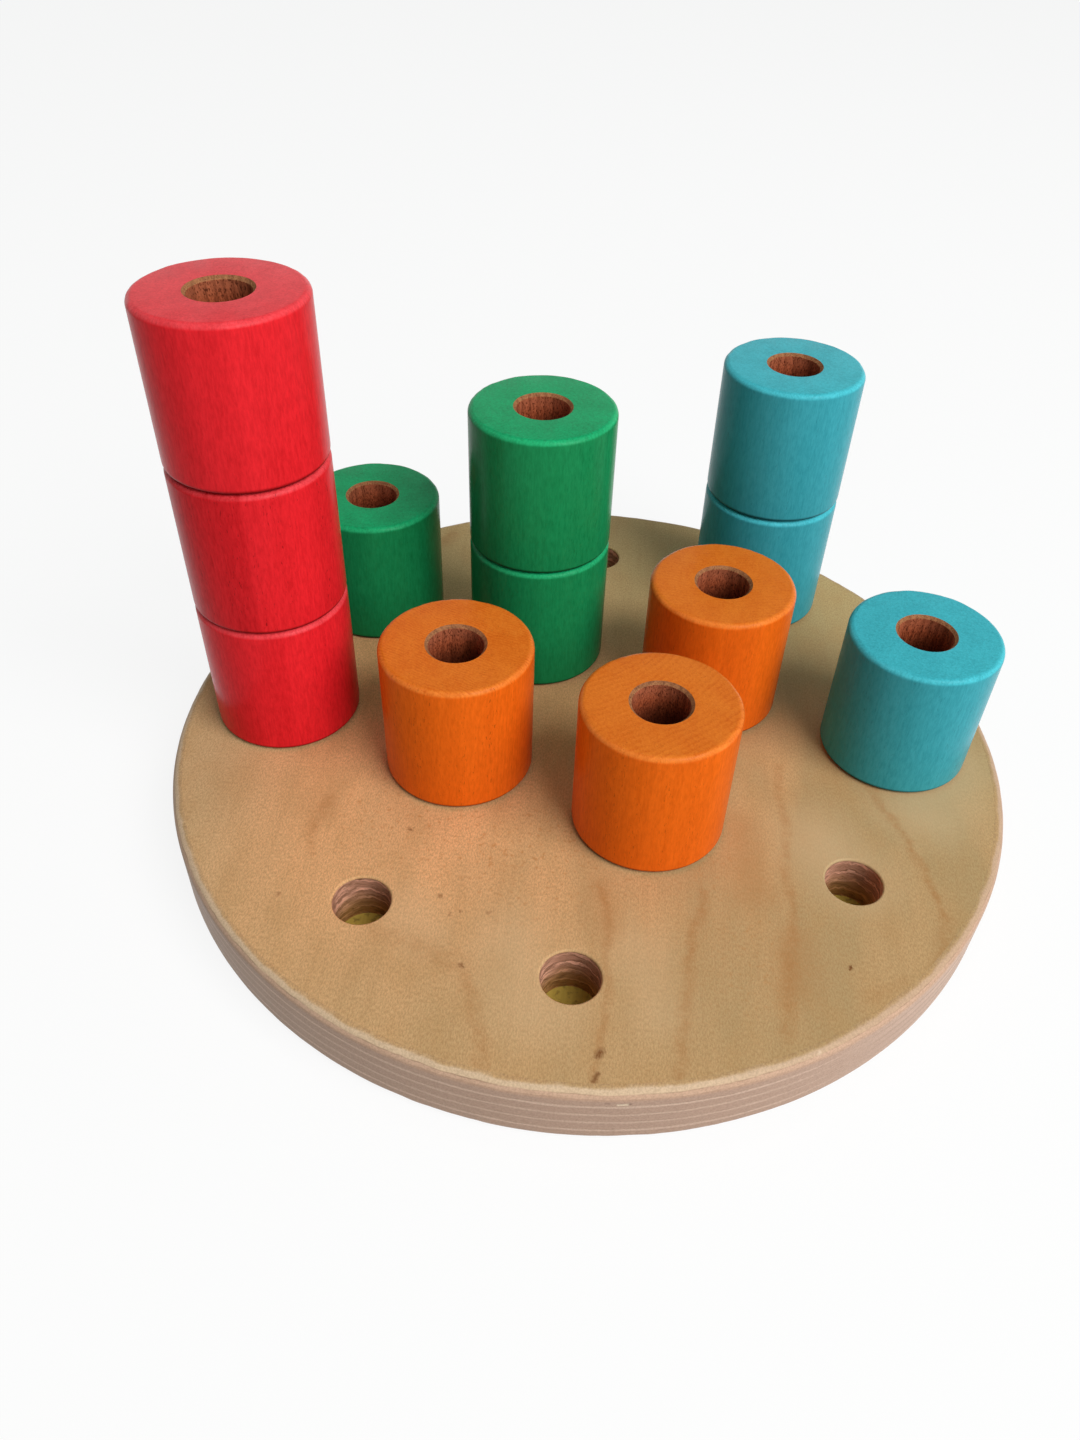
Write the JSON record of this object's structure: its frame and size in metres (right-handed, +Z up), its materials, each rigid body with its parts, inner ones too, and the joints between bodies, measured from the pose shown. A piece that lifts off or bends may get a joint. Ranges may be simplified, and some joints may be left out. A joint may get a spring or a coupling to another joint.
{
  "type": "stacking pegboard",
  "caption": "Round plywood board with a grid of blind holes, and painted wooden pegs that plug into it and stack on each other.",
  "frame": {"origin": "middle of the board's underside, on the surface that it stands on", "axes": "+Z up along the pegs and holes; X and Y along the two directions of the square grid of holes, with the tallest stack at -X"},
  "size_m": [0.29, 0.29, 0.1743],
  "materials": {
    "plywood": "clear satin lacquer over light face veneer, bare edge with visible plies",
    "red_paint": "satin stain paint over turned hardwood",
    "green_paint": "satin stain paint over turned hardwood",
    "orange_paint": "satin stain, grain showing through",
    "turquoise_paint": "satin stain paint over turned hardwood",
    "bare_wood": "unpainted hardwood, sanded"
  },
  "bodies": {
    "board": {"board": "plywood"},
    "red_peg_1": {"red_peg_1_block": "red_paint", "red_peg_1_dowel": "bare_wood"},
    "red_peg_2": {"red_peg_2_block": "red_paint", "red_peg_2_dowel": "bare_wood"},
    "red_peg_3": {"red_peg_3_block": "red_paint", "red_peg_3_dowel": "bare_wood"},
    "green_peg_1": {"green_peg_1_block": "green_paint", "green_peg_1_dowel": "bare_wood"},
    "green_peg_2": {"green_peg_2_block": "green_paint", "green_peg_2_dowel": "bare_wood"},
    "green_peg_3": {"green_peg_3_block": "green_paint", "green_peg_3_dowel": "bare_wood"},
    "orange_peg_1": {"orange_peg_1_block": "orange_paint", "orange_peg_1_dowel": "bare_wood"},
    "orange_peg_2": {"orange_peg_2_block": "orange_paint", "orange_peg_2_dowel": "bare_wood"},
    "orange_peg_3": {"orange_peg_3_block": "orange_paint", "orange_peg_3_dowel": "bare_wood"},
    "turquoise_peg_1": {"turquoise_peg_1_block": "turquoise_paint", "turquoise_peg_1_dowel": "bare_wood"},
    "turquoise_peg_2": {"turquoise_peg_2_block": "turquoise_paint", "turquoise_peg_2_dowel": "bare_wood"},
    "turquoise_peg_3": {"turquoise_peg_3_block": "turquoise_paint", "turquoise_peg_3_dowel": "bare_wood"}
  },
  "joints": [
    {"name": "red_peg_1_lift", "type": "slide", "parent": "board", "child": "red_peg_1", "axis": [0, 0, 1], "range_m": [0, 0.04]},
    {"name": "red_peg_2_lift", "type": "slide", "parent": "red_peg_1", "child": "red_peg_2", "axis": [0, 0, 1], "range_m": [0, 0.04]},
    {"name": "red_peg_3_lift", "type": "slide", "parent": "red_peg_2", "child": "red_peg_3", "axis": [0, 0, 1], "range_m": [0, 0.04]},
    {"name": "green_peg_1_lift", "type": "slide", "parent": "board", "child": "green_peg_1", "axis": [0, 0, 1], "range_m": [0, 0.04]},
    {"name": "green_peg_2_lift", "type": "slide", "parent": "board", "child": "green_peg_2", "axis": [0, 0, 1], "range_m": [0, 0.04]},
    {"name": "green_peg_3_lift", "type": "slide", "parent": "green_peg_2", "child": "green_peg_3", "axis": [0, 0, 1], "range_m": [0, 0.04]},
    {"name": "orange_peg_1_lift", "type": "slide", "parent": "board", "child": "orange_peg_1", "axis": [0, 0, 1], "range_m": [0, 0.04]},
    {"name": "orange_peg_2_lift", "type": "slide", "parent": "board", "child": "orange_peg_2", "axis": [0, 0, 1], "range_m": [0, 0.04]},
    {"name": "orange_peg_3_lift", "type": "slide", "parent": "board", "child": "orange_peg_3", "axis": [0, 0, 1], "range_m": [0, 0.04]},
    {"name": "turquoise_peg_1_lift", "type": "slide", "parent": "board", "child": "turquoise_peg_1", "axis": [0, 0, 1], "range_m": [0, 0.04]},
    {"name": "turquoise_peg_2_lift", "type": "slide", "parent": "turquoise_peg_1", "child": "turquoise_peg_2", "axis": [0, 0, 1], "range_m": [0, 0.04]},
    {"name": "turquoise_peg_3_lift", "type": "slide", "parent": "board", "child": "turquoise_peg_3", "axis": [0, 0, 1], "range_m": [0, 0.04]}
  ]
}
